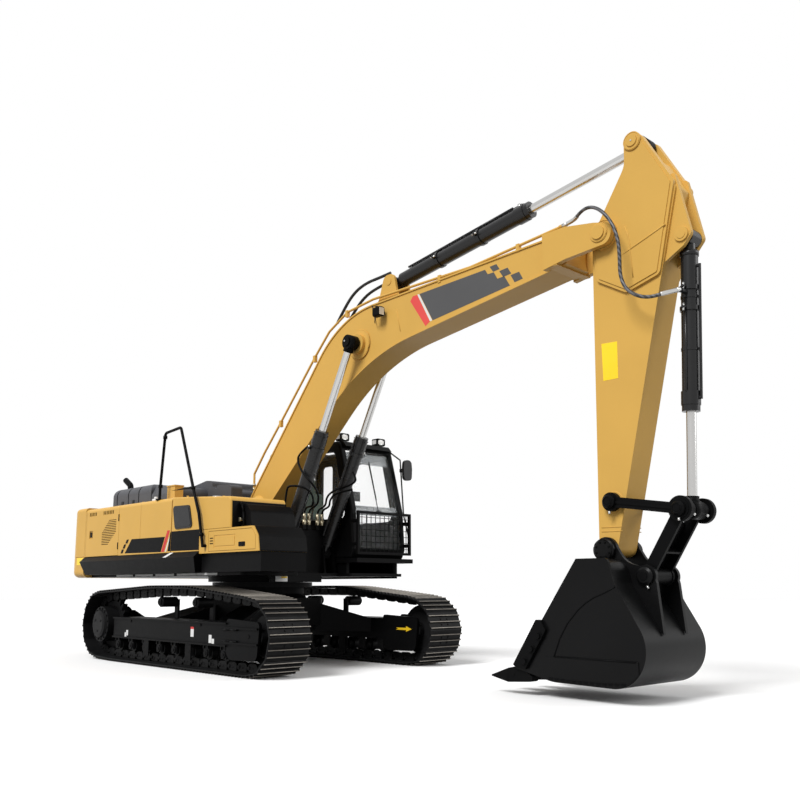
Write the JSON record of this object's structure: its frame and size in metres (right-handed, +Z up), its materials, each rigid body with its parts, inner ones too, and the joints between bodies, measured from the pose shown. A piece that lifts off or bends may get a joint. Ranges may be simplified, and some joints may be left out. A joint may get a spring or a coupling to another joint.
{
  "type": "crawler excavator",
  "caption": "Crawler excavator: slewing upper structure with cab, tail counterweight, cranked boom, arm and toothed bucket worked by hydraulic cylinders, on steel tracks.",
  "frame": {"origin": "on the ground under the swing axis", "axes": "+X forward along the boom, +Y to the machine's left, +Z up"},
  "size_m": [10.4441, 3.2443, 5.525],
  "materials": {
    "yellow_paint": "semi-gloss",
    "black_paint": "satin",
    "dark_steel": "worn",
    "chrome_rod": "polished",
    "clear_glass": "clear",
    "seat_fabric": "woven",
    "dark_plastic": "matte",
    "hose_rubber": "matte",
    "hood_plastic": "matte"
  },
  "bodies": {
    "undercarriage": {"car_body": "black_paint", "swing_bearing": "dark_steel", "track_frames": "black_paint", "track_left": "dark_steel", "track_right": "dark_steel", "track_wheels": "dark_steel"},
    "upper": {"platform": "black_paint", "counterweight": "yellow_paint", "engine": "dark_steel", "machine_house": "yellow_paint", "valve_hood": "hood_plastic", "side_skirts": "black_paint", "fuel_tank": "yellow_paint", "tool_box": "yellow_paint", "step_box": "black_paint", "handrails": "black_paint", "cab_shell": "black_paint", "cab_glass": "clear_glass", "operator_seat": "seat_fabric", "cab_controls": "dark_plastic", "front_guard": "black_paint", "cab_lamps": "black_paint", "mirror": "dark_plastic"},
    "hood": {"engine_hood": "hood_plastic", "exhaust_stub": "black_paint"},
    "right_service_door": {"side_door_right": "yellow_paint"},
    "left_service_door": {"side_door_left": "yellow_paint"},
    "tool_door": {"tool_box_door": "yellow_paint"},
    "cab_door_leaf": {"cab_door": "black_paint", "cab_door_glass": "clear_glass"},
    "boom_assembly": {"boom": "yellow_paint", "boom_lamp": "black_paint", "boom_pipes": "yellow_paint", "arm_hose": "hose_rubber"},
    "boom_barrel_left": {"boom_cylinder_left": "black_paint"},
    "boom_barrel_right": {"boom_cylinder_right": "black_paint"},
    "boom_piston_left": {"boom_rod_left": "chrome_rod"},
    "boom_piston_right": {"boom_rod_right": "chrome_rod"},
    "arm_barrel": {"arm_cylinder": "black_paint"},
    "arm_piston": {"arm_rod": "chrome_rod"},
    "dipper": {"arm": "yellow_paint"},
    "bucket_barrel": {"bucket_cylinder": "black_paint"},
    "bucket_piston": {"bucket_rod": "chrome_rod"},
    "idler_pair": {"idler_links": "black_paint"},
    "h_link": {"bucket_link": "black_paint"},
    "bucket_assembly": {"bucket": "black_paint", "teeth_and_cutters": "black_paint"}
  },
  "joints": [
    {"name": "swing", "type": "hinge", "parent": "undercarriage", "child": "upper", "pos_m": [0, 0, 1.12], "axis": [0, 0, 1], "continuous": true},
    {"name": "hood_lift", "type": "hinge", "parent": "upper", "child": "hood", "pos_m": [-1.396, 0, 2.614], "axis": [0, 1, 0], "range_deg": [0, 60]},
    {"name": "right_door_swing", "type": "hinge", "parent": "upper", "child": "right_service_door", "pos_m": [-1.623, -1.488, 1.88], "axis": [0, 0, 1], "range_deg": [0, 100]},
    {"name": "left_door_swing", "type": "hinge", "parent": "upper", "child": "left_service_door", "pos_m": [-1.623, 1.488, 1.88], "axis": [0, 0, -1], "range_deg": [0, 100]},
    {"name": "tool_door_swing", "type": "hinge", "parent": "upper", "child": "tool_door", "pos_m": [1.957, -1.488, 1.6], "axis": [0, 0, 1], "range_deg": [0, 100]},
    {"name": "cab_door_swing", "type": "hinge", "parent": "upper", "child": "cab_door_leaf", "pos_m": [-0.057, 1.473, 2.25], "axis": [0, 0, 1], "range_deg": [0, 150]},
    {"name": "boom_lift", "type": "hinge", "parent": "upper", "child": "boom_assembly", "pos_m": [0.09, 0, 2.15], "axis": [0, -1, 0], "range_deg": [-52, 30]},
    {"name": "boom_barrel_left_tilt", "type": "hinge", "parent": "upper", "child": "boom_barrel_left", "pos_m": [0.97, 0.35, 1.52], "axis": [0, -1, 0], "range_deg": [-53.54, 31.1]},
    {"name": "boom_barrel_right_tilt", "type": "hinge", "parent": "upper", "child": "boom_barrel_right", "pos_m": [0.97, -0.35, 1.52], "axis": [0, -1, 0], "range_deg": [-53.54, 31.1]},
    {"name": "boom_rod_left_slide", "type": "slide", "parent": "boom_barrel_left", "child": "boom_piston_left", "axis": [0.4631, 0, 0.8863], "range_m": [-0.8941, 0.5167]},
    {"name": "boom_rod_right_slide", "type": "slide", "parent": "boom_barrel_right", "child": "boom_piston_right", "axis": [0.4631, 0, 0.8863], "range_m": [-0.8941, 0.5167]},
    {"name": "arm_swing", "type": "hinge", "parent": "boom_assembly", "child": "dipper", "pos_m": [6.12, 0, 4.55], "axis": [0, 1, 0], "range_deg": [-55, 48]},
    {"name": "arm_barrel_tilt", "type": "hinge", "parent": "boom_assembly", "child": "arm_barrel", "pos_m": [2.85, 0, 4.93], "axis": [0, 1, 0], "range_deg": [-6.55, 5.78]},
    {"name": "arm_rod_slide", "type": "slide", "parent": "arm_barrel", "child": "arm_piston", "axis": [0.9906, 0, 0.1365], "range_m": [-0.7594, 0.663]},
    {"name": "bucket_curl", "type": "hinge", "parent": "dipper", "child": "bucket_assembly", "pos_m": [6, 0, 1.4], "axis": [0, 1, 0], "range_deg": [-70, 105]},
    {"name": "idler_swing", "type": "hinge", "parent": "dipper", "child": "idler_pair", "pos_m": [6.08, 0, 1.86], "axis": [0, 1, 0], "range_deg": [-43.9, 65.6]},
    {"name": "h_link_swing", "type": "hinge", "parent": "bucket_assembly", "child": "h_link", "pos_m": [6.42, 0, 1.15], "axis": [0, 1, 0], "range_deg": [-71.9, 48.1]},
    {"name": "bucket_barrel_tilt", "type": "hinge", "parent": "dipper", "child": "bucket_barrel", "pos_m": [6.92, 0, 4.34], "axis": [0, 1, 0], "range_deg": [-3.3, 4.7]},
    {"name": "bucket_rod_slide", "type": "slide", "parent": "bucket_barrel", "child": "bucket_piston", "axis": [-0.0463, 0, -0.9989], "range_m": [-0.4601, 0.6892]}
  ],
  "couplings": [
    {"joint": "boom_barrel_left_tilt", "follows": "boom_lift", "ratio": 1.02},
    {"joint": "boom_barrel_right_tilt", "follows": "boom_lift", "ratio": 1.02},
    {"joint": "boom_rod_left_slide", "follows": "boom_lift", "m_per_rad": 0.983},
    {"joint": "boom_rod_right_slide", "follows": "boom_lift", "m_per_rad": 0.983},
    {"joint": "arm_barrel_tilt", "follows": "arm_swing", "ratio": 0.11},
    {"joint": "arm_rod_slide", "follows": "arm_swing", "m_per_rad": 0.789},
    {"joint": "idler_swing", "follows": "bucket_curl", "ratio": 0.62},
    {"joint": "h_link_swing", "follows": "bucket_curl", "ratio": -0.68},
    {"joint": "bucket_barrel_tilt", "follows": "bucket_curl", "ratio": 0.04},
    {"joint": "bucket_rod_slide", "follows": "bucket_curl", "m_per_rad": 0.375}
  ]
}
